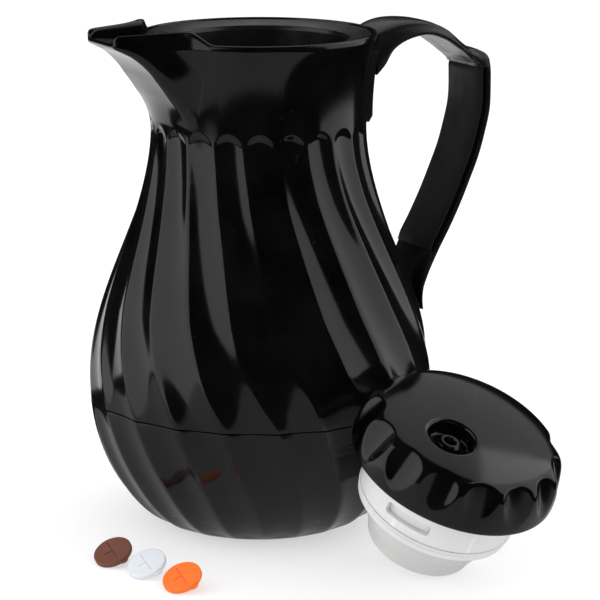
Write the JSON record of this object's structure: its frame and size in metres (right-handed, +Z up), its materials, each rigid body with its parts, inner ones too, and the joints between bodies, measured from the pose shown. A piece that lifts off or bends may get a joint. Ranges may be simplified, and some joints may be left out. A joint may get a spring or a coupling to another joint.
{
  "type": "insulated coffee server",
  "caption": "Swirl-fluted insulated pouring pot with strap handle, spout, lift-out lid with a turning pour valve, and loose drink tabs.",
  "frame": {"origin": "centre of the foot pad's underside, on the pot's axis", "axes": "+Z up along the pot's axis through its mouth, -X towards the spout, +X towards the handle"},
  "size_m": [0.2352, 0.2656, 0.2558],
  "materials": {
    "shell_black": "gloss moulded plastic",
    "handle_black": "satin moulded plastic",
    "grip_black": "soft satin pad",
    "collar_black": "gloss moulded plastic",
    "liner_black": "satin moulded plastic",
    "foam": "closed-cell foam",
    "gasket_grey": "silicone",
    "seal_white": "silicone",
    "foot_rubber": "matt rubber",
    "plug_white": "moulded",
    "screw_steel": "bright",
    "stopper_white": "satin moulded polypropylene",
    "tab_brown": "satin moulded plastic",
    "tab_white": "satin moulded plastic",
    "tab_orange": "satin moulded plastic"
  },
  "bodies": {
    "pot": {"upper_shell": "shell_black", "pouring_spout": "shell_black", "base_shell": "shell_black", "mouth_collar": "collar_black", "inner_liner": "liner_black", "foam_jacket": "foam", "foam_base": "foam", "liner_gasket": "gasket_grey", "seam_gasket": "gasket_grey", "fill_plug": "plug_white", "foot_pad": "foot_rubber", "handle_shell": "handle_black", "handle_grip": "grip_black", "tongue_screws": "screw_steel", "tail_screw": "screw_steel"},
    "stopper": {"stopper_sleeve": "stopper_white", "stopper_cup": "stopper_white", "cup_foam": "foam", "seal_ring": "seal_white"},
    "cap": {"cap_shell": "shell_black", "cap_foam": "foam", "cap_plate": "stopper_white", "valve_drum": "stopper_white", "drum_screws": "screw_steel", "pivot_screw": "screw_steel"},
    "tab_brown": {"tab_brown": "tab_brown"},
    "tab_white": {"tab_white": "tab_white"},
    "tab_orange": {"tab_orange": "tab_orange"}
  },
  "joints": [
    {"name": "lid_lift", "type": "slide", "parent": "pot", "child": "stopper", "axis": [0.1337, -0.4241, 0.8957], "range_m": [0, 0.2]},
    {"name": "cap_turn", "type": "hinge", "parent": "stopper", "child": "cap", "pos_m": [0.03889, -0.12719, 0.05431], "axis": [0.1337, -0.4241, 0.8957], "range_deg": [0, 90]},
    {"name": "tab_brown_lift", "type": "slide", "parent": "pot", "child": "tab_brown", "axis": [0, 0, 1], "range_m": [0, 0.15]},
    {"name": "tab_white_lift", "type": "slide", "parent": "pot", "child": "tab_white", "axis": [0, 0, 1], "range_m": [0, 0.15]},
    {"name": "tab_orange_lift", "type": "slide", "parent": "pot", "child": "tab_orange", "axis": [0, 0, 1], "range_m": [0, 0.15]}
  ]
}
